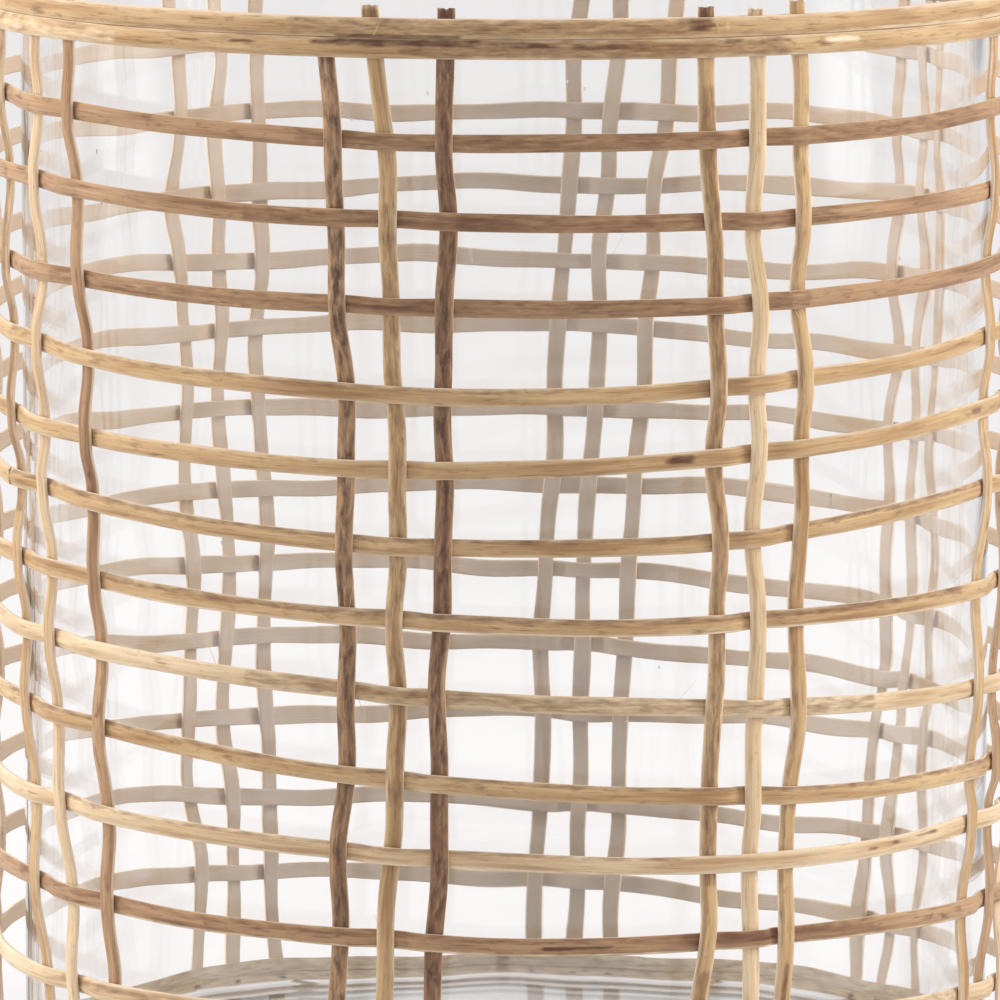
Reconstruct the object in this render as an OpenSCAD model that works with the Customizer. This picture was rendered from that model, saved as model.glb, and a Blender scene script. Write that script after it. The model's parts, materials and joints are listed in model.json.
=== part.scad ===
// Hurricane lantern: a glass cylinder that stands in an open sleeve of woven split cane.
// The sleeve's stakes run up in groups of three, and level weavers pass over and under them.
// At the top and at the floor the stakes' ends are held between outer and inner rim strips,
// fixed by brads driven from inside. Six strips woven across the floor carry the glass.
// Millimetres, +Z up. The origin is on the floor under the middle, and the front faces -Y.
// Angles turn from the front towards +X.

/* [Sleeve] */
// Height of the sleeve on its axis, from the floor to the top of the upper rim
sleeve_h = 276; // [275:0.5:278]
// Radius of the middle of the weave at the upper rim
top_r = 126.5; // [126:0.5:128]
// Radius of the middle of the weave at the floor
foot_r = 126; // [125:0.5:126.5]
// How far the upper rim rises at the front
rim_rise_front = 2; // [-2:0.5:2]
// How far the upper rim rises at the right
rim_rise_right = -0.5; // [-2:0.5:2]

/* [Cane] */
// Width of a stake, a weaver or a floor strip
cane_w = 4.4; // [4:0.1:4.6]
// Thickness of the same strips
cane_t = 1.5; // [1.3:0.1:1.6]
// Share of the width that the flat top of a strip's crown keeps
crown_share = 0.55; // [0.4:0.05:0.7]
// Air left between two strips that cross
cross_gap = 0.2; // [0.2:0.05:0.3]
// How far a stake wanders sideways, in degrees round the sleeve
stake_wander = 0.25; // [0:0.05:0.6]
// How far a weaver wanders up and down
weaver_wander = 0.4; // [0:0.1:0.8]

/* [Rims] */
// Height of one rim strip
rim_h = 5.3; // [5:0.1:5.5]
// Thickness of one rim strip
rim_t = 1.8; // [1.6:0.1:1.9]
// Air left between the two rim strips that lie one above the other
rim_seam = 0.1; // [0.1:0.05:0.2]

/* [Floor] */
// Distance between two floor strips that run the same way
floor_pitch = 40; // [30:1:44]
// Direction of the first set of floor strips
floor_turn = 45; // [40:1:50]
// Height of the underside of the floor strips
floor_lift = 0.3; // [0.2:0.05:0.4]

/* [Glass] */
// Outer radius of the glass
glass_r = 118.5; // [116:0.5:119]
// Thickness of its wall
glass_wall = 3; // [2:0.25:4]
// Thickness of its bottom
glass_bottom = 5; // [4:0.5:8]
// Radius of the round outer heel
heel_r = 6; // [4.5:0.5:8]
// How far the lip stops below the top of the sleeve
lip_drop = 3; // [2:0.5:10]

/* [Brads] */
// Radius of a brad's shank
brad_r = 0.5; // [0.4:0.05:0.6]
// Radius of a brad's head
brad_head_r = 1; // [0.8:0.1:1.2]
// Thickness of a brad's head
brad_head_t = 0.3; // [0.2:0.05:0.4]
// Depth of a brad in the outer rim strip
brad_bite = 0.9; // [0.5:0.1:1.2]

/* [Hidden] */
$fn = 96;
// One row for each weaver from the top down: its mean height, how far it rises at the front
// and at the right, and the size of a swell with two crests, first with the crests at the
// front and back and then with the crests an eighth of a turn further on
weaver_lie = [
    [250, -1.2, -0.5, -0.6, -0.8], [231, -1, -1.4, -0.8, -0.7], [211.5, -1.7, 0.8, -0.9, -0.8],
    [193, -2.1, -0.5, -2.5, 0.5], [175, -1.9, 0.3, -1.5, 1.4], [156, -0.5, -1.2, -2.7, 0.2],
    [135.5, 0.2, -2.7, -0.8, -0.8], [115, 1.5, -7.1, -0.2, -0.7], [96, 0.8, -7.4, -1.4, -1.2],
    [78.5, 1.1, -2.7, -1.9, -1.4], [57, 2.9, -4, -1.8, 1.1], [35.5, 3.2, -4.5, -0.3, 1.6],
];
// One row for each stake: its angle at the floor, at half height and at the top, and how far
// its cut end stands above the upper rim
stake_lie = [
    [-59.5, -68.2, -74.2, -0.5], [-52, -60.6, -63, 1], [-47.8, -51, -56.2, 0],
    [-20.1, -17.3, -19.8, -1], [-14.8, -11.7, -14.1, 2.5], [-8.3, -6.9, -6.3, 2],
    [19.8, 23.2, 21.4, 2], [26.6, 27.9, 27.5, 1.2], [29.7, 33.3, 32.9, 2.8],
    [58.5, 65.2, 68.2, 1], [64.5, 71.6, 75.5, -0.5], [70, 76.5, 81.5, 1.5],
    [122, 117.7, 116.6, 0.5], [129.8, 122.5, 120.8, 1.5], [134.4, 127.4, 126.7, 0],
    [167.5, 164.3, 158.9, 1], [171.7, 169.9, 165.6, 0], [176.5, 174.6, 170.2, 2],
    [208.5, 210.3, 210.5, 0.5], [214, 215.8, 216.5, 1.5], [220.2, 221.2, 223.4, -0.5],
    [264.5, 264.5, 264, 1], [269, 269, 268.5, 0], [273.5, 273.5, 273, 2],
];
// Whether a group of stakes starts over (0) or under (1) the first weaver, and the weaver
// that passes over all three of them, after which over and under change places (0 for none)
group_start = [0, 0, 1, 1, 0, 1, 0, 1];
group_slip = [0, 4, 10, 0, 0, 7, 0, 0];
// Colour of each stake, weaver and rim strip, as a place in the list of cane colours
cane_colours = [[0.85, 0.74, 0.58], [0.78, 0.63, 0.45], [0.67, 0.50, 0.33], [0.45, 0.32, 0.22]];
stake_tone = [1, 0, 2, 3, 1, 3, 1, 0, 1, 1, 2, 0, 1, 1, 2, 1, 0, 1, 2, 1, 1, 0, 1, 2];
weaver_tone = [2, 2, 2, 1, 1, 1, 1, 0, 1, 0, 2, 0];

per_group = 3;
stake_count = len(stake_lie);
weaver_count = len(weaver_lie);
floor_side = 3;
half_t = cane_t / 2;
lift = (cane_t + cross_gap) / 2;
flat = cane_w / 2 + 0.4;
rim_pair_h = 2 * rim_h + rim_seam;
foot_end = 0.4;
gap_rings = 3;
floor_low = floor_lift + half_t;
floor_high = floor_low + cane_t + cross_gap;
inner_foot_z = floor_lift + cane_t + cross_gap;
glass_z = floor_high + half_t + cross_gap;
glass_h = sleeve_h - lip_drop - glass_z;
inner_face = half_t + cross_gap / 2;
floor_reach = foot_r - inner_face - 0.3;
floor_pin_r = foot_r - inner_face - rim_t / 2;
floor_brad_h = inner_foot_z + 2 - floor_lift;
foot_brad_z = inner_foot_z + rim_h / 2;

RIM_STRIPS = ["top_rim_outer_upper", "top_rim_outer_lower", "top_rim_inner_upper",
    "top_rim_inner_lower", "foot_rim_outer_upper", "foot_rim_outer_lower",
    "foot_rim_inner_upper", "foot_rim_inner_lower"];

// Radius of the middle of the weave at height z. It stays the same inside each rim.
function sleeve_r(z) = let (low = rim_pair_h + inner_foot_z, high = sleeve_h - rim_pair_h)
    foot_r + (top_r - foot_r) * min(1, max(0, (z - low) / (high - low)));

// The point at radius r, angle a and height z
function at(r, a, z) = [r * sin(a), -r * cos(a), z];

// Height of weaver k, counted from 0, at angle a
function weaver_z(k, a) = let (w = weaver_lie[k])
    w[0] + w[1] * cos(a) + w[2] * sin(a) + w[3] * cos(2 * a) + w[4] * sin(2 * a)
    + weaver_wander * (sin(3 * a + 50 * k) + 0.5 * sin(7 * a + 95 * k));

// Angle of stake j, counted from 0, at height z
function stake_a(j, z) = let (u = z / sleeve_h, s = stake_lie[j])
    s[0] * (2 * u - 1) * (u - 1) + s[1] * 4 * u * (1 - u) + s[2] * u * (2 * u - 1)
    + stake_wander * (sin(5.1 * z + 77 * j) + 0.5 * sin(11.7 * z + 131 * j));

// Where stake j and weaver k cross
function cross_a(k, j) = stake_a(j, weaver_z(k, stake_lie[j][1]));
function cross_z(k, j) = weaver_z(k, cross_a(k, j));

// 1 where stake j is in front of weaver k, and -1 where it is behind
function stake_side(k, j) = let (g = floor(j / per_group), row = k + 1, slip = group_slip[g])
    row == slip ? -1 :
    (row + j % per_group + group_start[g] + (slip > 0 && row > slip ? 1 : 0)) % 2 == 1 ? 1 : -1;

// Height of the top of the upper rim at angle a
function rim_top(a) = sleeve_h + rim_rise_front * cos(a) + rim_rise_right * sin(a);

// A strip's section: flat behind and crowned in front, as [across, out] pairs
function section() = [[-cane_w / 2, -half_t], [cane_w / 2, -half_t],
    [cane_w / 2 * crown_share, half_t], [-cane_w / 2 * crown_share, half_t]];

// The section of a stake at radius r, angle a and height z, lying level
function stake_ring(r, a, z) = [for (p = section())
    at(r + p[1], a, z) + p[0] * [cos(a), sin(a), 0]];

// The section of a weaver at radius r, angle a and height z, standing upright
function weaver_ring(r, a, z) = [for (p = section()) at(r + p[1], a, z + p[0])];

// The section of a floor strip u along and v across, at height z, before it is turned
function floor_ring(u, v, z) = [for (p = section()) [u, v + p[0], z + p[1]]];

// Stations of stake j from the floor up, as [radius, height]
function stake_path(j) = concat(
    [[foot_r, foot_end], [foot_r, rim_pair_h + inner_foot_z]],
    [for (k = [weaver_count - 1:-1:0]) for (s = [-1, 1]) let (z = cross_z(k, j) + s * flat)
        [sleeve_r(z) + stake_side(k, j) * lift, z]],
    [[top_r, sleeve_h - rim_pair_h - 2], [top_r, rim_top(stake_lie[j][2]) + stake_lie[j][3]]]);

// Stations of weaver k round the sleeve, as [offset from the middle of the weave, angle]
function weaver_path(k) = [for (j = [0:stake_count - 1])
    let (next = (j + 1) % stake_count,
        a = cross_a(k, j), b = cross_a(k, next) + (next == 0 ? 360 : 0), reach = asin(flat / foot_r),
        from = -stake_side(k, j) * lift, to = -stake_side(k, next) * lift,
        rings = j % per_group == per_group - 1 ? gap_rings : 0)
    each concat([[from, a - reach], [from, a + reach]],
        rings == 0 ? [] : [for (i = [1:rings]) let (u = i / (rings + 1))
            [from + (to - from) * u, a + reach + (b - a - 2 * reach) * u]])];

// A solid through a list of four-point rings, closed on itself or capped at both ends
module strip(rings, closed = false) {
    count = len(rings);
    sides = [for (i = [0:count - (closed ? 1 : 2)]) for (c = [0:3])
        let (a = 4 * i, b = 4 * ((i + 1) % count), d = (c + 1) % 4)
        each [[a + c, b + c, b + d], [a + c, b + d, a + d]]];
    last = 4 * (count - 1);
    caps = closed ? [] : [[0, 1, 2], [0, 2, 3],
        [last + 2, last + 1, last], [last + 3, last + 2, last]];
    polyhedron(points = [for (ring = rings) each ring], faces = concat(sides, caps));
}

module stake(j) {
    color(cane_colours[stake_tone[j]])
        strip([for (p = stake_path(j)) stake_ring(p[0], stake_a(j, p[1]), p[1])]);
}

module weaver(k) {
    color(cane_colours[weaver_tone[k]])
        strip([for (p = weaver_path(k)) let (z = weaver_z(k, p[1]))
            weaver_ring(sleeve_r(z) + p[0], p[1], z)], closed = true);
}

// A half-round rim strip from height 0 up, with its flat face at radius r. Its crown looks
// out where side is 1 and in where side is -1.
module rim_strip(r, side) {
    crown = 0.6 * rim_t;
    bend_r = (rim_h * rim_h / 4 + crown * crown) / (2 * crown);
    rotate_extrude() translate([r, rim_h / 2]) intersection() {
        translate([side > 0 ? 0 : -rim_t, -rim_h / 2]) square([rim_t, rim_h]);
        translate([side * (rim_t - bend_r), 0]) circle(r = bend_r, $fn = 180);
    }
}

// Puts its children at the upper rim's lower edge, leaning as that rim leans
module at_top_rim() {
    translate([0, 0, sleeve_h - rim_pair_h])
        rotate([-asin(rim_rise_front / top_r), -asin(rim_rise_right / top_r), 0]) children();
}

// One of the eight rim strips: at the top or the foot, outer or inner, upper or lower
module rim(top, outer, upper) {
    rise = upper ? rim_h + rim_seam : 0;
    side = outer ? 1 : -1;
    color(cane_colours[outer ? 1 : 2]) {
        if (top) at_top_rim() translate([0, 0, rise]) rim_strip(top_r + side * inner_face, side);
        else translate([0, 0, rise + (outer ? 0 : inner_foot_z)])
            rim_strip(foot_r + side * inner_face, side);
    }
}

// A brad driven outwards, with its head on the inner rim strip at radius r from the axis
module rim_brad(r, a) {
    rotate([0, 0, a]) rotate([90, 0, 0]) {
        translate([0, 0, r - inner_face - rim_t])
            cylinder(r = brad_r, h = rim_t + 2 * inner_face + brad_bite, $fn = 24);
        translate([0, 0, r - inner_face - rim_t - brad_head_t])
            cylinder(r = brad_head_r, h = brad_head_t, $fn = 24);
    }
}

module top_rim_brads() {
    color("silver") at_top_rim() for (j = [0:stake_count - 1])
        translate([0, 0, 1.5 * rim_h + rim_seam])
            rim_brad(top_r, stake_a(j, sleeve_h - rim_h / 2));
}

// Brads through the foot rim at the stakes, and upright ones that hold the floor strips
module foot_rim_brads() {
    color("silver") {
        for (j = [0:stake_count - 1])
            translate([0, 0, foot_brad_z]) rim_brad(foot_r, stake_a(j, foot_brad_z));
        for (turn = [0, 90, 180, 270], i = [-1:1])
            rotate([0, 0, floor_turn + turn + asin(i * floor_pitch / floor_pin_r)])
                translate([floor_pin_r, 0, floor_lift])
                cylinder(r = brad_r, h = floor_brad_h, $fn = 24);
    }
}

// Floor strip n, counted from 0: three run one way, and three run across them
module floor_strip(n) {
    way = floor(n / floor_side);
    row = n % floor_side;
    v = (row - 1) * floor_pitch;
    reach = sqrt(floor_reach * floor_reach - pow(abs(v) + cane_w / 2, 2));
    crossings = [for (c = [0:floor_side - 1]) for (s = [-1, 1])
        [(c - 1) * floor_pitch + s * flat, (c + row + way) % 2 == 0 ? floor_low : floor_high]];
    stations = concat([[-reach, floor_low], [-floor_pitch - 4 * flat, floor_low]], crossings,
        [[floor_pitch + 4 * flat, floor_low], [reach, floor_low]]);
    color(cane_colours[way]) rotate([0, 0, floor_turn + 90 * way])
        strip([for (p = stations) floor_ring(p[0], v, p[1])]);
}

// A round-cornered half section of a cup with outer radius r, height h and corner radius c
module cup_outline(r, h, c) {
    square([r - c, h]);
    translate([0, c]) square([r, h - c]);
    translate([r - c, c]) circle(r = c);
}

module glass_cylinder() {
    lip = glass_wall / 2;
    color([0.85, 0.93, 0.93, 0.35]) translate([0, 0, glass_z]) rotate_extrude($fn = 180) {
        difference() {
            cup_outline(glass_r, glass_h - lip, heel_r);
            translate([0, glass_bottom])
                cup_outline(glass_r - glass_wall, glass_h, heel_r - glass_wall + 1);
        }
        translate([glass_r - lip, glass_h - lip]) circle(r = lip);
    }
}

glass_cylinder();
for (i = [0:7]) rim(top = i < 4, outer = i % 4 < 2, upper = i % 2 == 0);
top_rim_brads();
foot_rim_brads();
for (k = [1:12]) weaver(k - 1);
for (j = [1:24]) stake(j - 1);
for (n = [1:6]) floor_strip(n - 1);
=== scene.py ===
"""The looks of a woven cane hurricane lantern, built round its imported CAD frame.
Metres, +Z up, origin on the floor under the middle, front at -Y. Angles are degrees round the
sleeve from the front towards +X, as in the CAD."""
import json
import math
import random

import bpy
import numpy as np
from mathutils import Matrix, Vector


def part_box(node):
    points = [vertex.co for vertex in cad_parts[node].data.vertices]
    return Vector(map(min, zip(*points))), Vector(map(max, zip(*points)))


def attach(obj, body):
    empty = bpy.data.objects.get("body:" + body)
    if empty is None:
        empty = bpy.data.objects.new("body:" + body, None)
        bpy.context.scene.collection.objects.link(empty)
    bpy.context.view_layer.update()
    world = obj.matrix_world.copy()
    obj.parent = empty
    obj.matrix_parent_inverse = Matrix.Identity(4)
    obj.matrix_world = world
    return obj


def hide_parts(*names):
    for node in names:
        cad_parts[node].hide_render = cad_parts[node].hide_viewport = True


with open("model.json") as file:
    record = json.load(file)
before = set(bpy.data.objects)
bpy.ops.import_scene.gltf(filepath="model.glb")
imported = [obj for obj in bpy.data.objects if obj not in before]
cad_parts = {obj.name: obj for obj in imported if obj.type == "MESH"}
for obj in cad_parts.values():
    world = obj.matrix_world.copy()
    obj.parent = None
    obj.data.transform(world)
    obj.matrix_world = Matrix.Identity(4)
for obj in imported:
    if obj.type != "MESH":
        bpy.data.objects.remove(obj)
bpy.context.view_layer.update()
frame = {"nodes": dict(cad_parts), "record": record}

MM = 0.001
STEP = 1.5 * MM  # distance between two rings of a swept strip

WEAVERS, STAKES, FLOOR_STRIPS = 12, 24, 6
CANE_W, CANE_T = 4.4 * MM, 1.5 * MM
RIM_W, RIM_T = 5.3 * MM, 1.8 * MM
TOP_TUCK = 0.3 * MM  # half of what a top rim strip loses from the border away from the seam
GLASS_WALL, GLASS_BOTTOM, HEEL_R = 3 * MM, 5 * MM, 6 * MM
OVERLAP = 16  # degrees over which a weaver's or a rim strip's two shaved ends lie on each other
SHAVED = 0.62  # where a shaved end's surface lies at its tip, as a share of half the thickness
MARK_FADE = 1.1  # degrees, or millimetres on a stake, over which a mark fades in and out
# Where each family of strips starts in the seeds that vary the strips
STAKE_SEED, FLOOR_SEED, RIM_SEED, SPLINTER_SEED = 20, 50, 70, 95

# Where each weaver's shaved ends overlap, in degrees
WEAVER_JOINS = [150, 236, 104, 192, 63, 283, 146, 98, 69, 205, 250, 136]
RIM_JOINS = {
    "top_rim_outer_upper": 139, "top_rim_outer_lower": 243,
    "top_rim_inner_upper": 52, "top_rim_inner_lower": 188,
    "foot_rim_outer_upper": 287, "foot_rim_outer_lower": 110,
    "foot_rim_inner_upper": 171, "foot_rim_inner_lower": 12,
}


# ---------------------------------------------------------------- curves read off the CAD

def cad_points(node):
    """The corner points of a CAD node, each once."""
    co = np.array([v.co for v in frame["nodes"][node].data.vertices])
    return np.unique(np.round(co, 6), axis=0)


def ring_centres(points, key):
    """The middles of a CAD strip's four-point rings, in the order of key."""
    return points[np.argsort(key)].reshape(-1, 4, 3).mean(axis=1)


def angle_of(points):
    return np.degrees(np.arctan2(points[:, 0], -points[:, 1]))


def radius_of(points):
    return np.hypot(points[:, 0], points[:, 1])


def eased(x, y, where):
    """A smooth curve through (x, y) that never overshoots its points, read off at where."""
    slope = np.diff(y) / np.diff(x)
    before = np.r_[slope[0], slope]
    after = np.r_[slope, slope[-1]]
    limit = 3 * np.minimum(np.abs(before), np.abs(after)) * (before * after > 0)
    tangent = np.clip((before + after) / 2, -limit, limit)
    i = np.clip(np.searchsorted(x, where, side="right") - 1, 0, len(x) - 2)
    h = x[i + 1] - x[i]
    t = (where - x[i]) / h
    return (y[i] * (1 + 2 * t) * (1 - t) ** 2 + y[i + 1] * t * t * (3 - 2 * t)
            + tangent[i] * h * t * (1 - t) ** 2 - tangent[i + 1] * h * t * t * (1 - t))


def smoothed(values, window):
    """A running mean over an odd number of points, with the ends held level."""
    padded = np.pad(values, window // 2, mode="edge")
    return np.convolve(padded, np.ones(window) / window, mode="valid")


def wander(along, seed, wavelength):
    """A smooth irregular curve between about -1 and 1."""
    rng = random.Random(seed)
    total = 0
    for share in (1, 0.61, 0.37):
        total = total + share * np.sin(2 * math.pi * (along / (wavelength * share) + rng.random()))
    return total / 1.6


# ---------------------------------------------------------------- strips of split cane

def cane_section(crown):
    """A strip's outline as [across, out, edge, cut] rows, each position between -1 and 1.
    edge rises to 1 at the bark's borders, and cut is 1 where the sawn pith shows."""
    front = []
    for s in np.linspace(-1, 1, 15):
        front.append([0.96 * s, 1 - crown * abs(s) ** 2.4, abs(s) ** 5, 0])
    low = 1 - crown
    side = [[1, low - 0.12, 1, 0.6], [1, -0.55, 0.6, 1], [0.96, -0.9, 0.6, 1]]
    back = [[s, -1 + 0.08 * (1 - abs(s)), 0.2, 1] for s in (0.8, 0.4, 0, -0.4, -0.8)]
    other_side = [[-a, o, e, c] for a, o, e, c in reversed(side)]
    return np.array(front + side + back + other_side)


STRIP_SECTION = cane_section(0.75)
RIM_SECTION = cane_section(1.05)


def strip_mesh(name, centre, across, out, width, thickness, seed, section=STRIP_SECTION,
               low=None, high=None, stain=None, slack=0.035, rough=0.35 * MM):
    """Sweeps a cane section along centre. across and out are unit vectors, one per ring, and
    low and high the shares of the thickness, from -1 to 1, that are left at each ring. slack is
    how far the width varies, and rough how ragged the cut ends are."""
    count, sides = len(centre), len(section)
    rng = random.Random(seed)
    steps = np.linalg.norm(np.diff(centre, axis=0), axis=1)
    along = np.r_[0, np.cumsum(steps)]
    low = -np.ones(count) if low is None else low
    high = np.ones(count) if high is None else high
    half_w = width / 2 * (1 - slack + slack * wander(along, seed + 0.1, 0.07))
    slide = slack * width * wander(along, seed + 0.2, 0.11)
    points = np.zeros((count, sides, 3))
    for i, (a, o, _, cut) in enumerate(section):
        ridge = (0.05 * (1 - cut)) * wander(along, rng.random() * 99, 0.05) - 0.05 * (1 - cut)
        level = low + (high - low) * (o + 1) / 2 + ridge * (high - low) / 2
        points[:, i] = (centre + across * (a * half_w + slide)[:, None]
                        + out * (level * thickness / 2)[:, None])
    verts, faces = with_ends(points, rng, rough)
    obj = new_mesh(name, verts, faces)
    ring_of = np.repeat(np.arange(count), sides)
    u = np.tile(np.linspace(0, 1.6, sides), count)
    v = along[ring_of] + seed * 1.37
    paint(obj, "cane", np.column_stack((u, v, np.full(len(u), seed))))
    paint(obj, "edge", np.tile(section[:, 2], count))
    paint(obj, "cut", np.tile(section[:, 3], count), 1)
    marks = np.zeros((count, sides)) if stain is None else stain
    paint(obj, "stain", marks.reshape(-1))
    return obj


def ring_faces(count, sides):
    faces = []
    for i in range(count - 1):
        a, b = i * sides, (i + 1) * sides
        for j in range(sides):
            k = (j + 1) % sides
            faces.append((a + j, b + j, b + k, a + k))
    return faces


def with_ends(rows, rng, rough):
    """Vertices and faces of a strip. Its two ends are rough cuts: a middle point, and a ring
    that isn't level."""
    count, sides = rows.shape[:2]
    faces = ring_faces(count, sides)
    for end, inner in ((0, 1), (count - 1, count - 2)):
        way = rows[end].mean(axis=0) - rows[inner].mean(axis=0)
        way = way / np.linalg.norm(way)
        for j in range(sides):
            rows[end, j] -= way * rng.random() * rough
    middles = [rows[0].mean(axis=0), rows[-1].mean(axis=0)]
    first, last = count * sides, count * sides + 1
    for j in range(sides):
        k = (j + 1) % sides
        faces.append((first, j, k))
        faces.append((last, (count - 1) * sides + k, (count - 1) * sides + j))
    return np.vstack((rows.reshape(-1, 3), middles)), faces


def new_mesh(name, verts, faces):
    mesh = bpy.data.meshes.new(name)
    mesh.from_pydata([tuple(v) for v in verts], [], faces)
    mesh.shade_smooth()
    mesh.validate()
    obj = bpy.data.objects.new(name, mesh)
    bpy.context.scene.collection.objects.link(obj)
    return obj


def paint(obj, name, values, at_ends=0):
    """Stores one number, or one vector, for each point of the mesh. Points past the list are
    the middles of the ends, which take the last vector, or the number at_ends."""
    vector = values.ndim == 2
    kind, field = ("FLOAT_VECTOR", "vector") if vector else ("FLOAT", "value")
    extra = len(obj.data.vertices) - len(values)
    tail = np.repeat(values[-1:], extra, axis=0) if vector else np.full(extra, at_ends)
    data = np.concatenate((values, tail)).astype(np.float32)
    obj.data.attributes.new(name, kind, "POINT").data.foreach_set(field, data.reshape(-1))


def around(angle):
    """The outward and the sideways unit vectors at each angle."""
    a = np.radians(angle)
    flat = np.zeros_like(a)
    out = np.column_stack((np.sin(a), -np.cos(a), flat))
    sideways = np.column_stack((np.cos(a), np.sin(a), flat))
    return out, sideways


def from_front(angle):
    """The angle brought to between -180 and 180 degrees, as the list of marks has it."""
    return (angle + 180) % 360 - 180


def upright(count):
    return np.tile([0, 0, 1.0], (count, 1))


def scarf(angle, start):
    """What is left of a hoop's thickness where its two shaved ends overlap."""
    into = np.clip((angle - start) / OVERLAP, 0, 1)
    out_of = np.clip((start + 360 + OVERLAP - angle) / OVERLAP, 0, 1)
    high = -SHAVED + (1 + SHAVED) * into ** 0.8
    low = SHAVED - (1 + SHAVED) * out_of ** 0.8
    return np.minimum(low, SHAVED), np.maximum(high, -SHAVED)


# Marks on the cane: piece, first and last angle (or height, in millimetres, on a stake), place
# across from -1 to 1, half breadth, and strength: dark above 0, pale below. Most are marks of age;
# the pale line on the right of the upper outer top rim is a painted highlight, and the pale backs
# of the inner foot rims are painted light.
MARKS = [
    ("top_rim_outer_lower", -38, -33, 0.25, 0.15, 0.7),
    ("top_rim_outer_lower", -31, -26.5, 0.35, 0.2, 0.85),
    ("top_rim_outer_lower", -21.5, -17, 0.55, 0.25, 0.9),
    ("top_rim_outer_lower", -19, -2, 0.6, 0.45, 0.9),
    ("top_rim_outer_upper", -19, -4, -0.85, 0.3, 0.8),
    ("top_rim_outer_upper", -14.7, -11.4, 0.55, 0.55, 0.75),
    ("top_rim_outer_lower", -2.5, 6, 0.45, 0.4, 0.88),
    ("top_rim_outer_lower", 5.5, 14, 0.3, 0.4, 0.88),
    ("top_rim_outer_upper", 18.7, 22.7, 0.3, 0.7, 1.0),
    ("top_rim_outer_upper", 23, 24.4, 0.1, 0.5, -0.8),
    ("top_rim_outer_lower", 22.5, 26.4, 0.6, 0.3, 0.85),
    ("top_rim_outer_lower", 26.8, 31, 0.5, 0.35, 0.8),
    ("top_rim_outer_lower", 35, 41, 0.4, 0.35, -0.8),
    # painted highlight: a pale line along the lower border of the upper outer top rim, on its right
    ("top_rim_outer_upper", 38, 70, -0.85, 0.25, -0.7),
    ("top_rim_outer_upper", -62, -58, -0.3, 0.5, 0.7),
    ("weaver_10", 42, 45, 0.1, 0.22, 0.8),
    ("weaver_10", 46, 48.5, 0.3, 0.2, 0.8),
    ("weaver_10", 50.5, 56, 0.45, 0.2, 0.8),
    ("weaver_5", 16.5, 21, 0.2, 0.5, 1.0),
    ("weaver_9", -39.4, -37.8, 0.3, 0.35, 0.9),
    ("weaver_9", -35.6, -34.4, -0.4, 0.3, 0.8),
    ("weaver_11", 3, 12, -0.1, 0.25, 0.95),
    ("weaver_11", 26, 31, 0.0, 0.2, 0.9),
    ("weaver_5", 60, 64, 0.1, 0.4, 0.8),
    ("weaver_2", -5, 2, 0.3, 0.3, 0.75),
    ("weaver_3", -20, -8, 0.0, 0.3, 0.75),
    ("weaver_3", 8, 20, 0.5, 0.25, 0.75),
    # long washes, where the cane is stained or its skin is scraped off; the last four are painted
    # light on the inner foot rims, which stand in shade
    ("top_rim_outer_upper", -24, 22, 0.2, 1.0, 0.52),
    ("top_rim_outer_lower", -12, 32, 0.0, 1.0, 0.58),
    ("top_rim_outer_lower", -80, -45, -0.2, 1.0, -0.5),
    ("weaver_1", -24, 58, 0.1, 1.2, 0.5),
    ("weaver_2", -30, 40, 0.1, 1.2, 0.52),
    ("weaver_3", -60, 35, 0.1, 1.2, 0.48),
    ("weaver_4", -70, 10, 0.75, 0.4, 0.5),
    ("weaver_6", -70, 70, 0.8, 0.4, 0.6),
    ("weaver_7", -50, 60, 0.7, 0.55, 0.62),
    ("weaver_7", -60, 60, -0.9, 0.15, -0.7),
    ("weaver_8", -30, 45, 0.2, 1.0, 0.52),
    ("weaver_9", -75, 70, 0.8, 0.35, 0.58),
    ("weaver_10", -60, 20, 0.85, 0.3, 0.5),
    ("weaver_10", -60, 60, -0.9, 0.2, -0.6),
    ("weaver_11", -70, 45, 0.6, 0.5, 0.5),
    ("weaver_11", -60, 60, -0.9, 0.15, -0.7),
    ("weaver_12", -60, 60, 0.3, 0.6, 0.5),
    ("stake_1", 150, 281, 0.0, 1.2, 0.6),
    ("stake_5", 90, 235, 0.0, 1.2, 0.48),
    ("stake_5", 276, 281, 0.0, 1.2, 0.75),
    ("stake_6", 275, 281, 0.0, 1.2, 0.9),
    ("stake_7", 274, 281, 0.0, 1.2, 0.9),
    ("stake_8", 276, 281, 0.0, 1.2, 0.6),
    ("stake_6", 0, 274, 0.0, 1.2, 0.55),
    ("stake_7", 70, 262, 0.1, 1.0, 0.62),
    ("stake_7", 26, 34, 0.1, 0.5, 0.85),
    ("stake_7", 14, 52, 0.0, 0.8, 0.62),
    ("stake_9", 30, 52, 0.0, 0.4, 0.7),
    ("stake_9", 60, 250, -0.7, 0.4, 0.5),
    ("stake_3", 162, 165, 0.2, 0.3, 0.9),
    ("stake_3", 158, 160, -0.3, 0.25, 0.8),
    ("stake_3", 105, 108, 0.1, 0.3, 0.9),
    ("stake_3", 100, 102, 0.5, 0.25, 0.8),
    # painted light: the back halves of the inner foot rims stand in shade inside the glass and are
    # painted paler, as if lit
    ("foot_rim_inner_upper", -180, -90, 0.0, 3.0, -0.7),
    ("foot_rim_inner_upper", 90, 180, 0.0, 3.0, -0.7),
    ("foot_rim_inner_lower", -180, -90, 0.0, 3.0, -0.7),
    ("foot_rim_inner_lower", 90, 180, 0.0, 3.0, -0.7),
]


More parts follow.
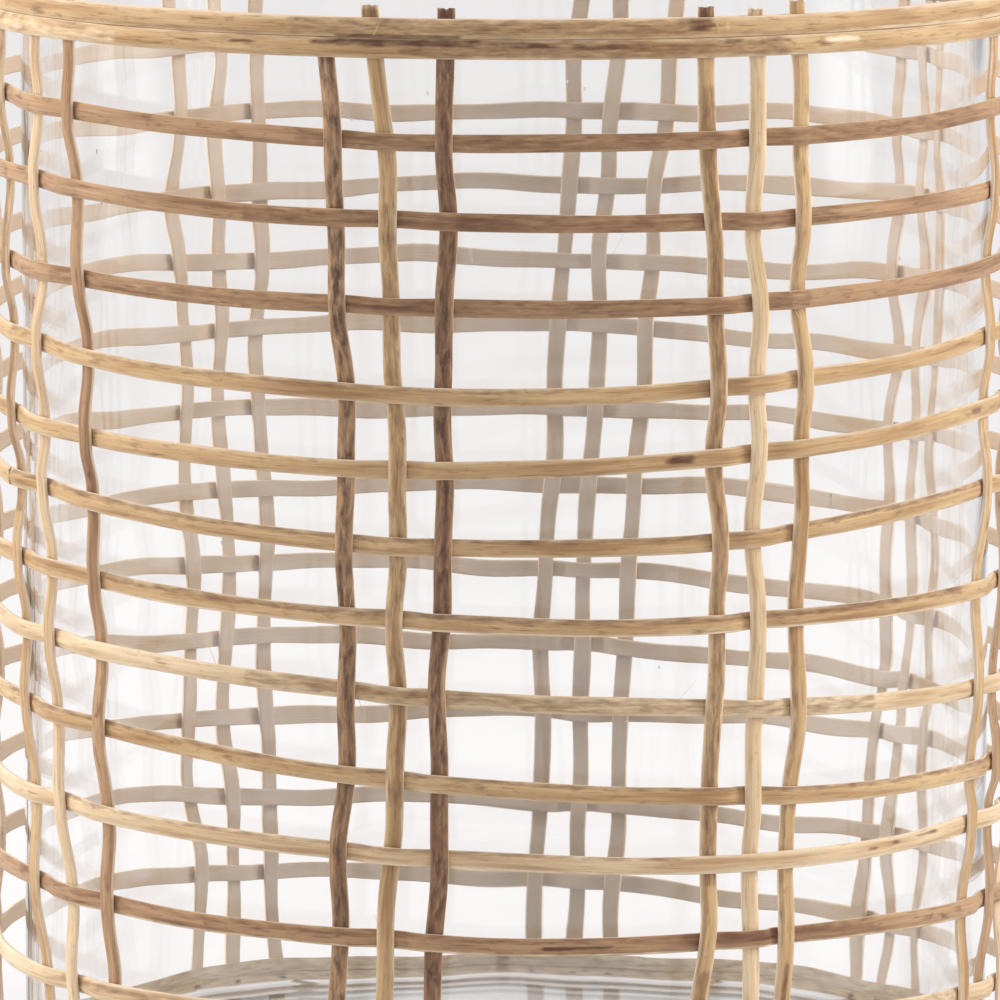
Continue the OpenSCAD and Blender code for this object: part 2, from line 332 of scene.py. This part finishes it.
def stains(name, place, section=STRIP_SECTION):
    """How strongly the listed marks darken, or below 0 pale, each point of a strip. place is
    each ring's angle, or its height in millimetres."""
    total = np.zeros((len(place), len(section)))
    across = np.where(section[:, 3] > 0.5, 9, section[:, 0])
    for piece, start, end, middle, breadth, strength in MARKS:
        if piece != name:
            continue
        inside = np.clip(np.minimum(place - start, end - place) / MARK_FADE, 0, 1)
        beside = np.clip(1.5 - np.abs(across - middle) / breadth, 0, 1)
        mark = strength * inside[:, None] * beside[None, :]
        total = np.where(np.abs(mark) > np.abs(total), mark, total)
    return total


def make_weaver(number):
    """One weaver, smooth over and under the stakes where the CAD ring runs in straights."""
    name = f"weaver_{number}"
    points = cad_points(name)
    middles = ring_centres(points, angle_of(points))
    a, r, z = angle_of(middles), radius_of(middles), middles[:, 2]
    a3 = np.r_[a - 360, a, a + 360, a + 720]
    start = WEAVER_JOINS[number - 1] - OVERLAP / 2
    angle = np.arange(start - 360, start + OVERLAP, math.degrees(STEP / r.mean()))
    radius = eased(a3, np.tile(r, 4), angle)
    height = eased(a3, np.tile(z, 4), angle)
    height = smoothed(height, 13)
    out, _ = around(angle)
    low, high = scarf(angle, start - 360)
    centre = out * radius[:, None] + upright(len(angle)) * height[:, None]
    return strip_mesh(f"cane_{name}", centre, upright(len(angle)), out, CANE_W, CANE_T,
                      number, low=low, high=high, stain=stains(name, from_front(angle)))


def make_stake(number):
    name = f"stake_{number}"
    points = cad_points(name)
    middles = ring_centres(points, points[:, 2])
    z = middles[:, 2]
    height = np.linspace(z[0], z[-1], int((z[-1] - z[0]) / STEP))
    angle = eased(z, np.unwrap(angle_of(middles), period=360), height)
    angle = smoothed(angle, 7)
    radius = eased(z, radius_of(middles), height)
    out, sideways = around(angle)
    centre = out * radius[:, None] + upright(len(height)) * height[:, None]
    return strip_mesh(f"cane_{name}", centre, sideways, out, CANE_W, CANE_T, STAKE_SEED + number,
                      stain=stains(name, height / MM), rough=0.8 * MM)


def make_floor_strip(number):
    name = f"floor_strip_{number}"
    points = cad_points(name)
    way = np.linalg.svd(points - points.mean(axis=0), full_matrices=False)[2][0]
    way[2] = 0
    way /= np.linalg.norm(way)
    middles = ring_centres(points, points @ way)
    along = middles @ way
    where = np.linspace(along[0], along[-1], int((along[-1] - along[0]) / STEP))
    side = np.array([-way[1], way[0], 0])
    centre = (way * where[:, None] + side * (middles @ side).mean()
              + upright(len(where)) * eased(along, middles[:, 2], where)[:, None])
    return strip_mesh(f"cane_{name}", centre, np.tile(side, (len(where), 1)),
                      upright(len(where)), CANE_W, CANE_T, FLOOR_SEED + number)


def make_rim(name):
    """One half-round rim strip, laid in the plane of its CAD hoop. At the top it is a little
    narrower than the CAD's, and keeps its border at the seam."""
    points = cad_points(name)
    a = np.radians(angle_of(points))
    terms = np.column_stack((np.ones_like(a), np.cos(a), np.sin(a)))
    lie = np.linalg.lstsq(terms, points[:, 2], rcond=None)[0]
    radius = (radius_of(points).min() + radius_of(points).max()) / 2
    start = RIM_JOINS[name] - OVERLAP / 2
    angle = np.arange(start - 360, start + OVERLAP, math.degrees(STEP / radius))
    turn = np.radians(angle)
    height = lie[0] + lie[1] * np.cos(turn) + lie[2] * np.sin(turn)
    out, _ = around(angle)
    seed = RIM_SEED + list(RIM_JOINS).index(name)
    side = 1 if "outer" in name else -1
    tuck = TOP_TUCK if name.startswith("top_rim") else 0
    height = height + (tuck if "lower" in name else -tuck)
    centre = out * radius + upright(len(angle)) * height[:, None]
    low, high = scarf(angle, start - 360)
    return strip_mesh(f"cane_{name}", centre, side * upright(len(angle)), side * out,
                      RIM_W - 2 * tuck, RIM_T, seed, section=RIM_SECTION, low=low, high=high,
                      stain=stains(name, from_front(angle), RIM_SECTION), slack=0.008)


# ---------------------------------------------------------------- glass, brads and fibres

def revolved(profile, turns, offset):
    """Points of a closed (radius, height) profile turned about the axis. offset gives how far
    each point moves outwards."""
    r, z = np.array(profile).T
    angle = np.linspace(0, 2 * math.pi, turns, endpoint=False)
    r2, a2 = np.meshgrid(r, angle)
    z2 = np.broadcast_to(z, r2.shape)
    r2 = r2 + offset(a2, z2, r2 < r.max() - GLASS_WALL / 2)
    return np.stack((r2 * np.sin(a2), -r2 * np.cos(a2), z2), axis=-1)


def arc(middle, radius, start, end, count):
    turn = np.radians(np.linspace(start, end, count))
    return [(middle[0] + radius * math.cos(t), middle[1] + radius * math.sin(t)) for t in turn]


def glass_profile(radius, bottom, top):
    """The cup's section from the middle of its underside, up outside and down inside."""
    lip = GLASS_WALL / 2
    inner = radius - GLASS_WALL
    floor = bottom + GLASS_BOTTOM
    corner = HEEL_R - GLASS_WALL + 1 * MM
    rise = np.linspace(bottom + HEEL_R, top - lip, 60)
    fall = np.linspace(top - lip, floor + corner, 60)
    under = [(r, bottom + 0.7 * MM) for r in np.linspace(4 * MM, radius - 22 * MM, 12)]
    foot = [(radius - 16 * MM, bottom + 0.25 * MM), (radius - 11 * MM, bottom)]
    return (under + foot + arc((radius - HEEL_R, bottom + HEEL_R), HEEL_R, -90, 0, 14)
            + [(radius, z) for z in rise[1:-1]]
            + arc((radius - lip, top - lip), lip, 0, 180, 14)
            + [(inner, z) for z in fall[1:-1]]
            + arc((inner - corner, floor + corner), corner, 0, -90, 10)
            + [(r, floor) for r in np.linspace(inner - corner, 4 * MM, 14)[1:]])


def glass_wave(angle, height, inside):
    """Blown glass is a little uneven. Its inside and outside wander apart, so what stands
    behind it looks bent."""
    slow = np.sin(3 * angle + 9 * height + 0.7) + 0.6 * np.sin(7 * angle - 21 * height)
    inner = np.sin(5 * angle + 60 * height) + 0.7 * np.sin(11 * angle - 95 * height + 1.3)
    fine = np.sin(23 * angle + 40 * height) * np.sin(130 * height + 4 * angle)
    return MM * (0.05 * slow + np.where(inside, 0.07 * inner + 0.02 * fine, 0) - 0.1)


# Small bubbles in the glass: angle, height in millimetres, and half length in millimetres
BUBBLES = [
    (7, 262, 0.5), (9, 260, 0.4), (37, 261, 0.45), (-20, 262, 0.5), (-19, 256, 0.35),
    (-9, 259, 0.4), (-58, 268, 0.5), (-56, 240, 0.6), (-55, 228, 0.5), (52, 190, 0.4),
    (-35, 150, 0.4), (14, 110, 0.35), (120, 200, 0.5), (160, 90, 0.4), (200, 230, 0.5),
    (245, 140, 0.45), (290, 60, 0.4), (85, 120, 0.5),
]


def bubble(angle, height, size, radius):
    """A long little hollow in the wall, with its faces looking into it."""
    verts, turns, rows = [], 10, 7
    out, side = (v[0] for v in around(np.array([float(angle)])))
    middle = out * radius + np.array([0, 0, height * MM])
    for i in range(1, rows):
        lift = math.pi * i / rows
        for j in range(turns):
            t = 2 * math.pi * j / turns
            verts.append(middle + size * MM * (0.55 * math.sin(lift) * (math.cos(t) * out
                         + math.sin(t) * side) + np.array([0, 0, math.cos(lift)])))
    poles = [middle + np.array([0, 0, size * MM]), middle - np.array([0, 0, size * MM])]
    faces = ring_faces(rows - 1, turns)
    first, last, base = (rows - 1) * turns, (rows - 1) * turns + 1, (rows - 2) * turns
    for j in range(turns):
        k = (j + 1) % turns
        faces.append((first, j, k))
        faces.append((last, base + k, base + j))
    return verts + poles, faces


def make_glass():
    low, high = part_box("glass_cylinder")
    rows = revolved(glass_profile(high.x, low.z, high.z), 240, glass_wave)
    turns, count = rows.shape[:2]
    verts = [tuple(p) for p in rows.reshape(-1, 3)]
    faces = []
    for i in range(turns):
        a, b = i * count, (i + 1) % turns * count
        faces += [(a + j, b + j, b + j + 1, a + j + 1) for j in range(count - 1)]
    verts += [(0, 0, rows[0, 0, 2]), (0, 0, rows[0, -1, 2])]
    under, floor = len(verts) - 2, len(verts) - 1
    for i in range(turns):
        a, b = i * count, (i + 1) % turns * count
        faces.append((under, b, a))
        faces.append((floor, a + count - 1, b + count - 1))
    for angle, height, size in BUBBLES:
        more, quads = bubble(angle, height, size, high.x - GLASS_WALL / 2)
        base = len(verts)
        verts += [tuple(p) for p in more]
        faces += [tuple(base + i for i in face) for face in quads]
    return new_mesh("blown_glass", verts, faces)


def loose_parts(node):
    """The corner points of each separate solid of a CAD node."""
    mesh = frame["nodes"][node].data
    places = {}
    group = list(range(len(mesh.vertices)))

    def root(i):
        while group[i] != i:
            group[i] = group[group[i]]
            i = group[i]
        return i

    for v in mesh.vertices:
        key = tuple(round(c, 6) for c in v.co)
        group[root(v.index)] = root(places.setdefault(key, v.index))
    for edge in mesh.edges:
        group[root(edge.vertices[0])] = root(edge.vertices[1])
    found = {}
    for v in mesh.vertices:
        found.setdefault(root(v.index), []).append(v.co)
    return [np.array(found[k]) for k in sorted(found)]


def brad(points):
    """One brad with a domed head and a tapered point, lying as its CAD solid does."""
    middle = points.mean(axis=0)
    way = np.linalg.svd(points - middle, full_matrices=False)[2][0]
    along = (points - middle) @ way
    spread = np.linalg.norm(points - middle - along[:, None] * way, axis=1)
    near = 0.1 * MM
    if spread[along > along.max() - near].max() > spread[along < along.min() + near].max():
        way, along = -way, -along
    start, end = along.min(), along.max()
    shank = spread[along > end - near].max()
    head = spread.max()
    if head > 1.2 * shank:
        profile = [(0.3 * head, 0), (0.72 * head, 0.05), (0.93 * head, 0.14), (head, 0.24),
                   (0.95 * head, 0.3), (shank, 0.31)]
    else:
        profile = [(0.5 * shank, 0), (0.92 * shank, 0.05), (shank, 0.15)]
    profile = [(r, start + z * MM) for r, z in profile]
    profile += [(shank, end - 0.8 * MM), (0.7 * shank, end - 0.3 * MM), (0.15 * shank, end)]
    side = np.cross(way, [0.31, 0.52, 0.79])
    side /= np.linalg.norm(side)
    other = np.cross(way, side)
    turns = 20
    verts = []
    for r, z in profile:
        for j in range(turns):
            t = 2 * math.pi * j / turns
            verts.append(middle + way * z + r * (math.cos(t) * side + math.sin(t) * other))
    faces = [tuple(reversed(f)) for f in ring_faces(len(profile), turns)]
    last = (len(profile) - 1) * turns
    faces.append(tuple(range(turns)))
    faces.append(tuple(reversed(range(last, last + turns))))
    return verts, faces


def make_brads(node):
    verts, faces = [], []
    for points in loose_parts(node):
        more, quads = brad(points)
        faces += [tuple(len(verts) + i for i in face) for face in quads]
        verts += more
    return new_mesh(f"{node}_domed", verts, faces)


# Splinters that have lifted off the cane: angle and height (in millimetres) of the root, how
# far the tip is from it round the sleeve in degrees and up in millimetres, the lift, and the
# radius of the root, in millimetres
SPLINTERS = [
    (-17.5, 133, 1.5, 14, 2.0, 125), (-16.8, 120, 2.0, -9, 1.5, 125), (18, 113.5, 2.5, 7, 1.8, 125),
    (-52, 60, 1.0, 10, 1.6, 124), (-62, 214, 1.5, 8, 1.4, 126), (33, 205, -2.0, 9, 1.4, 126),
    (75, 92, 2.0, 11, 1.6, 125), (-13, 58, -1.5, 8, 1.2, 124), (121, 140, 2.0, 12, 2.0, 125),
    (168, 190, -2.0, 10, 1.8, 126), (216, 88, 2.0, 12, 2.0, 125), (264.5, 170, 1.5, 9, 1.6, 125),
    (-32, 39, 6.0, -2, 1.5, 124), (-44, 61, 9.0, -3, 1.5, 124), (38, 36.5, 1.5, 6, 1.2, 124),
    (-13.8, 273.6, 0.8, 3.8, 0.1, 128.9), (22.3, 276, 0.6, -4, 0.1, 128.9),
]


def make_splinters():
    verts, faces, sides, rows = [], [], 5, 12
    for angle, height, turn, rise, lift, radius in SPLINTERS:
        u = np.linspace(0, 1, rows)
        out, side = around(angle + turn * u)
        bow = (radius + 0.4 + lift * np.sin(math.pi * 0.55 * u) ** 2) * MM
        line = out * bow[:, None] + upright(rows) * ((height + rise * u) * MM)[:, None]
        base = len(verts)
        for i in range(rows):
            r = 0.1 * MM * (1 - 0.85 * u[i])
            for j in range(sides):
                t = 2 * math.pi * j / sides
                verts.append(line[i] + r * (math.cos(t) * out[i] + math.sin(t) * side[i]))
        faces += [tuple(base + i for i in f) for f in ring_faces(rows, sides)]
    obj = new_mesh("cane_splinters", verts, faces)
    count = len(verts)
    along = np.repeat(np.linspace(0, 0.02, count // sides), sides)
    across, seeds = np.full(count, 0.5), np.full(count, float(SPLINTER_SEED))
    paint(obj, "cane", np.column_stack((across, along, seeds)))
    paint(obj, "edge", np.ones(count))
    paint(obj, "cut", np.zeros(count))
    paint(obj, "stain", np.zeros(count))
    return obj


# ---------------------------------------------------------------- materials

class Tree:
    """Shorthand for the nodes of one material."""

    def __init__(self, name):
        self.material = bpy.data.materials.new(name)
        self.material.use_nodes = True
        self.nodes = self.material.node_tree.nodes
        self.links = self.material.node_tree.links
        self.shader = self.nodes["Principled BSDF"]

    def add(self, kind, **settings):
        node = self.nodes.new(kind)
        for key, value in settings.items():
            setattr(node, key, value)
        return node

    def plug(self, target, value):
        """Links an output to an input, or sets the input to a plain value."""
        if isinstance(value, bpy.types.NodeSocket):
            self.links.new(value, target)
        else:
            target.default_value = value

    def attribute(self, name, output="Fac"):
        return self.add("ShaderNodeAttribute", attribute_name=name).outputs[output]

    def math(self, operation, a, b=0.0):
        node = self.add("ShaderNodeMath", operation=operation)
        self.plug(node.inputs[0], a)
        self.plug(node.inputs[1], b)
        return node.outputs[0]

    def stretch(self, vector, scale):
        node = self.add("ShaderNodeVectorMath", operation="MULTIPLY")
        self.plug(node.inputs[0], vector)
        node.inputs[1].default_value = scale
        return node.outputs[0]

    def noise(self, vector, detail=2.0, scale=1.0, distortion=0.0):
        node = self.add("ShaderNodeTexNoise")
        self.plug(node.inputs["Vector"], vector)
        node.inputs["Scale"].default_value = scale
        node.inputs["Detail"].default_value = detail
        node.inputs["Distortion"].default_value = distortion
        return node.outputs["Fac"]

    def span(self, value, low, high, to_low=0.0, to_high=1.0):
        """Maps low..high to to_low..to_high and holds it there."""
        node = self.add("ShaderNodeMapRange", clamp=True)
        self.plug(node.inputs["Value"], value)
        for key, number in (("From Min", low), ("From Max", high),
                            ("To Min", to_low), ("To Max", to_high)):
            node.inputs[key].default_value = number
        return node.outputs[0]

    def mix(self, factor, a, b, blend="MIX"):
        node = self.add("ShaderNodeMix", data_type="RGBA", blend_type=blend)
        self.plug(node.inputs[0], factor)
        self.plug(node.inputs[6], a)
        self.plug(node.inputs[7], b)
        return node.outputs[2]

    def bump(self, height, distance):
        node = self.add("ShaderNodeBump")
        node.inputs["Distance"].default_value = distance
        node.inputs["Strength"].default_value = 1.0
        self.plug(node.inputs["Height"], height)
        self.plug(self.shader.inputs["Normal"], node.outputs[0])


def rgb(red, green, blue):
    """A colour given as 0 to 255 steps on a screen, in linear light."""
    parts = [c / 255 for c in (red, green, blue)]
    return tuple(c / 12.92 if c <= 0.04045 else ((c + 0.055) / 1.055) ** 2.4 for c in parts) + (1,)


STAIN = rgb(86, 50, 34)
PITH = rgb(228, 203, 178)
# pale colour of wear, also used for painted highlights and painted light
WEAR_AND_PAINTED_LIGHT = rgb(230, 212, 184)


def cane_material(name, deep, body, light, mottling):
    """Split cane: bark with long fibres, flecks and streaks, paler borders that are partly rubbed
    cane and partly a painted highlight of the bevelled edges, and pale fibrous pith where it was
    sawn. mottling, from 0 to 1, is how much of it the dark speckles of old skin cover."""
    t = Tree(name)
    cane = t.attribute("cane", "Vector")
    fibre = t.noise(t.stretch(cane, (30, 55, 1)), detail=4.0)
    cloud = t.noise(t.stretch(cane, (2.6, 32, 1)), detail=3.0)
    drift = t.noise(t.stretch(cane, (0.3, 14, 1)), detail=1.0)
    streak = t.noise(t.stretch(cane, (9, 120, 1)), detail=2.0, distortion=0.4)
    fleck = t.noise(t.stretch(cane, (16, 620, 1)), detail=1.0)
    blotch = t.noise(t.stretch(cane, (3.2, 190, 1)), detail=6.0, distortion=0.3)
    speck = t.noise(t.stretch(cane, (8, 700, 1)), detail=2.0)
    tone = t.math("ADD", t.math("MULTIPLY", cloud, 0.6), t.math("MULTIPLY", drift, 0.5))
    colour = t.mix(t.span(tone, 0.42, 0.68), body, light)
    colour = t.mix(t.span(tone, 0.52, 0.36, 0, 0.55), colour, deep)
    colour = t.mix(t.span(streak, 0.60, 0.74, 0, 0.7), colour, deep)
    skin = t.math("ADD", blotch, t.math("MULTIPLY", drift, 0.35))
    begin = 0.78 - 0.26 * mottling
    colour = t.mix(t.span(skin, begin, begin + 0.26, 0, 0.9), colour, deep)
    colour = t.mix(t.span(speck, 0.56, 0.76, 0, 0.4 * mottling), colour, light)
    fine = t.span(fibre, 0.3, 0.7, 0.80, 1.14)
    grey = t.add("ShaderNodeCombineColor")
    for socket in grey.inputs[:3]:
        t.plug(socket, fine)
    colour = t.mix(1.0, colour, grey.outputs[0], "MULTIPLY")
    # painted highlight: the pale line along every strip's borders is partly wear and partly a
    # highlight of the bevelled edge painted into the colour
    wear_and_edge_highlight = t.math("MULTIPLY", t.attribute("edge"), t.span(streak, 0.3, 0.6, 0.8, 0.25))
    colour = t.mix(wear_and_edge_highlight, colour, WEAR_AND_PAINTED_LIGHT if mottling < 0.2 else light)
    colour = t.mix(t.span(fleck, 0.70, 0.78, 0, 0.6), colour, STAIN)
    colour = t.mix(t.math("MULTIPLY", t.attribute("cut"), 0.82), colour, PITH)
    ragged = t.math("MULTIPLY", t.noise(t.stretch(cane, (4, 190, 1)), detail=5.0), 1.2)
    mark = t.attribute("stain")
    dark = t.math("SUBTRACT", mark, ragged)
    colour = t.mix(t.span(dark, -0.3, 0.4, 0, 0.95), colour, STAIN)
    # pale marks from the list: mostly wear, but a painted highlight on the right of the upper outer
    # top rim and painted light on the inner foot rims
    pale = t.math("SUBTRACT", t.math("MULTIPLY", mark, -1.0), ragged)
    colour = t.mix(t.span(pale, -0.3, 0.4, 0, 0.9), colour, WEAR_AND_PAINTED_LIGHT)
    t.plug(t.shader.inputs["Base Color"], colour)
    rough = t.math("ADD", t.span(fibre, 0.3, 0.7, 0.52, 0.40),
                   t.math("MULTIPLY", t.attribute("cut"), 0.25))
    t.plug(t.shader.inputs["Roughness"], rough)
    t.shader.inputs["Specular IOR Level"].default_value = 0.4
    relief = t.math("ADD", fibre, t.math("MULTIPLY", streak, 0.6))
    t.bump(relief, 0.12 * MM)
    return t.material


def glass_material():
    """Clear glass with faint smears, dusty in its base and duller on its lip. It lets light
    through to what stands inside it."""
    t = Tree("clear_blown_glass")
    place = t.add("ShaderNodeTexCoord").outputs["Object"]
    smear = t.noise(t.stretch(place, (28, 28, 9)), detail=3.0)
    tint = t.mix(smear, (0.997, 1.0, 0.998, 1), (1.0, 0.999, 0.997, 1))
    t.plug(t.shader.inputs["Base Color"], tint)
    parts = t.add("ShaderNodeSeparateXYZ")
    t.plug(parts.inputs[0], place)
    height = parts.outputs[2]
    lip_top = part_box("glass_cylinder")[1].z
    dust = t.span(height, 10 * MM, 14 * MM, 0.1, 0)
    lip = t.span(height, lip_top - 2.2 * MM, lip_top - 1.2 * MM, 0, 0.3)
    t.plug(t.shader.inputs["Roughness"],
           t.math("ADD", t.span(smear, 0.4, 0.75, 0.004, 0.03), t.math("ADD", dust, lip)))
    t.shader.inputs["Transmission Weight"].default_value = 1.0
    t.shader.inputs["IOR"].default_value = 1.5
    t.bump(t.noise(t.stretch(place, (40, 40, 12)), detail=2.0), 0.03 * MM)
    clear = t.add("ShaderNodeBsdfTransparent")
    clear.inputs[0].default_value = (0.99, 0.99, 0.99, 1)
    chosen = t.add("ShaderNodeMixShader")
    t.links.new(t.add("ShaderNodeLightPath").outputs["Is Shadow Ray"], chosen.inputs[0])
    t.links.new(t.shader.outputs[0], chosen.inputs[1])
    t.links.new(clear.outputs[0], chosen.inputs[2])
    t.links.new(chosen.outputs[0], t.nodes["Material Output"].inputs["Surface"])
    return t.material


def steel_material():
    """Small drawn-steel brads, dulled and spotted with a little rust."""
    t = Tree("dull_steel")
    place = t.add("ShaderNodeTexCoord").outputs["Object"]
    spots = t.noise(place, detail=4.0, scale=900)
    colour = t.mix(t.span(spots, 0.5, 0.66), rgb(176, 174, 168), rgb(112, 84, 62))
    t.plug(t.shader.inputs["Base Color"], colour)
    t.plug(t.shader.inputs["Roughness"], t.span(spots, 0.35, 0.65, 0.3, 0.6))
    t.shader.inputs["Metallic"].default_value = 0.9
    t.bump(t.noise(place, detail=2.0, scale=2500), 0.03 * MM)
    return t.material


MATERIALS = {
    "pale_cane": cane_material("split_cane_pale", rgb(154, 118, 84), rgb(186, 155, 117),
                               rgb(214, 191, 157), 0.0),
    "golden_cane": cane_material("split_cane_golden", rgb(122, 86, 54), rgb(167, 130, 88),
                                 rgb(196, 165, 123), 0.1),
    "brown_cane": cane_material("split_cane_brown", rgb(92, 60, 42), rgb(146, 110, 79),
                                rgb(178, 144, 109), 0.2),
    "dark_cane": cane_material("split_cane_dark", rgb(72, 46, 34), rgb(140, 104, 74),
                               rgb(184, 150, 115), 0.85),
    "clear_glass": glass_material(),
    "brad_steel": steel_material(),
}


# ---------------------------------------------------------------- putting it together

def stand_in(obj, node):
    """obj is shown instead of a CAD node, in the finish that the record gives that node."""
    slot = next(p["material_slot"] for p in frame["record"]["subparts"] if p["node"] == node)
    body = next(b for b, n in frame["record"]["behaviour"]["bodies"].items() if node in n)
    obj.data.materials.append(MATERIALS[slot])
    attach(obj, body)
    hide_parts(node)


def build_lantern():
    for number in range(1, WEAVERS + 1):
        stand_in(make_weaver(number), f"weaver_{number}")
    for number in range(1, STAKES + 1):
        stand_in(make_stake(number), f"stake_{number}")
    for number in range(1, FLOOR_STRIPS + 1):
        stand_in(make_floor_strip(number), f"floor_strip_{number}")
    for name in RIM_JOINS:
        stand_in(make_rim(name), name)
    for node in ("top_rim_brads", "foot_rim_brads"):
        stand_in(make_brads(node), node)
    stand_in(make_glass(), "glass_cylinder")
    splinters = make_splinters()
    splinters.data.materials.append(MATERIALS["golden_cane"])
    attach(splinters, "sleeve")


# ---------------------------------------------------------------- studio

FLOOR_R, FLOOR_SIDES = 14, 96
WORLD = (0.87, 0.865, 0.865, 1)
LEFT_LIGHT, RIGHT_LIGHT = -98, 85  # where the two lights stand, in degrees
LIGHT_DISTANCE = 1.3
SOFTBOX_HEIGHT, SOFTBOX_TALL = 0.85, 1.3
PANEL_TALL, PANEL_GLOW = 1.5, 1.7


def make_floor():
    """A wide pale disc. Most of its tone is its own, so it stays even under the side lights."""
    verts = [(FLOOR_R * math.sin(t), FLOOR_R * math.cos(t), 0)
             for t in np.linspace(0, 2 * math.pi, FLOOR_SIDES, endpoint=False)]
    floor = new_mesh("studio_floor", verts, [tuple(reversed(range(FLOOR_SIDES)))])
    t = Tree("studio_floor")
    place = t.add("ShaderNodeTexCoord").outputs["Object"]
    t.plug(t.shader.inputs["Base Color"],
           t.mix(t.noise(place, scale=3), (0.23, 0.22, 0.22, 1), (0.25, 0.24, 0.24, 1)))
    t.shader.inputs["Emission Color"].default_value = (1, 0.985, 0.985, 1)
    t.shader.inputs["Emission Strength"].default_value = 0.60
    t.shader.inputs["Roughness"].default_value = 0.9
    t.shader.inputs["Specular IOR Level"].default_value = 0.1
    floor.data.materials.append(t.material)


def aim(obj, target):
    way = np.array(target) - np.array(obj.location)
    flat = math.hypot(way[0], way[1])
    obj.rotation_euler = (math.pi / 2 + math.atan2(way[2], flat), 0, math.atan2(-way[0], way[1]))


def softbox(name, azimuth, width, power):
    """A tall soft light at that angle round the object, facing its axis."""
    data = bpy.data.lights.new(name, "AREA")
    data.shape = "RECTANGLE"
    data.size, data.size_y, data.energy = width, SOFTBOX_TALL, power
    obj = bpy.data.objects.new(name, data)
    turn = math.radians(azimuth)
    obj.location = (LIGHT_DISTANCE * math.sin(turn), -LIGHT_DISTANCE * math.cos(turn),
                    SOFTBOX_HEIGHT)
    aim(obj, (0, 0, SOFTBOX_HEIGHT))
    obj.visible_camera = False
    obj.visible_glossy = False
    obj.visible_transmission = False
    bpy.context.scene.collection.objects.link(obj)


def glow_panel(name, azimuth, width):
    """The white face of a softbox, as it shows in the glass: it fades out to its borders."""
    turn = math.radians(azimuth)
    out, side = (v[0] for v in around(np.array([float(azimuth)])))
    verts = [out * LIGHT_DISTANCE + side * (x * width / 2) + np.array([0, 0, z * PANEL_TALL])
             for x, z in ((-1, 0), (1, 0), (1, 1), (-1, 1))]
    panel = new_mesh(name, verts, [(0, 1, 2, 3)])
    t = Tree(name)
    place = t.add("ShaderNodeTexCoord").outputs["Generated"]
    parts = t.add("ShaderNodeSeparateXYZ")
    t.plug(parts.inputs[0], place)
    wide = parts.outputs[1] if abs(math.sin(turn)) > 0.7 else parts.outputs[0]
    fade = t.math("MULTIPLY", t.span(t.math("PINGPONG", wide, 0.5), 0.0, 0.3),
                  t.span(t.math("PINGPONG", parts.outputs[2], 0.5), 0.0, 0.07))
    glow = t.add("ShaderNodeEmission")
    t.plug(glow.inputs["Color"], (1, 0.99, 0.985, 1))
    t.plug(glow.inputs["Strength"], t.math("MULTIPLY", fade, PANEL_GLOW))
    clear = t.add("ShaderNodeBsdfTransparent")
    chosen = t.add("ShaderNodeMixShader")
    t.plug(chosen.inputs[0], fade)
    t.links.new(clear.outputs[0], chosen.inputs[1])
    t.links.new(glow.outputs[0], chosen.inputs[2])
    t.links.new(chosen.outputs[0], t.nodes["Material Output"].inputs["Surface"])
    panel.data.materials.append(t.material)
    panel.visible_camera = False
    panel.visible_shadow = False


CAMERA_DISTANCE = 2.75
CAMERA_ELEVATION = 7.78
CAMERA_TARGET = (-0.0014, 0, 0.1471)
FRAME_WIDTH = 0.2456  # what the camera takes in at the target


def make_camera():
    data = bpy.data.cameras.new("camera")
    data.sensor_width = 36
    data.lens = data.sensor_width * CAMERA_DISTANCE / FRAME_WIDTH
    data.clip_end = 60
    obj = bpy.data.objects.new("camera", data)
    rise = math.radians(CAMERA_ELEVATION)
    x, y, z = CAMERA_TARGET
    obj.location = (x, y - CAMERA_DISTANCE * math.cos(rise), z + CAMERA_DISTANCE * math.sin(rise))
    aim(obj, CAMERA_TARGET)
    bpy.context.scene.collection.objects.link(obj)
    bpy.context.scene.camera = obj


def make_studio():
    world = bpy.data.worlds.new("studio")
    world.use_nodes = True
    world.node_tree.nodes["Background"].inputs["Color"].default_value = WORLD
    bpy.context.scene.world = world
    bpy.context.scene.view_settings.view_transform = "Standard"
    make_floor()
    softbox("left_softbox", LEFT_LIGHT, 0.75, 26)
    softbox("right_softbox", RIGHT_LIGHT, 0.6, 21)
    glow_panel("left_glow", LEFT_LIGHT, 0.9)
    glow_panel("right_glow", RIGHT_LIGHT, 0.6)
    make_camera()


build_lantern()
make_studio()
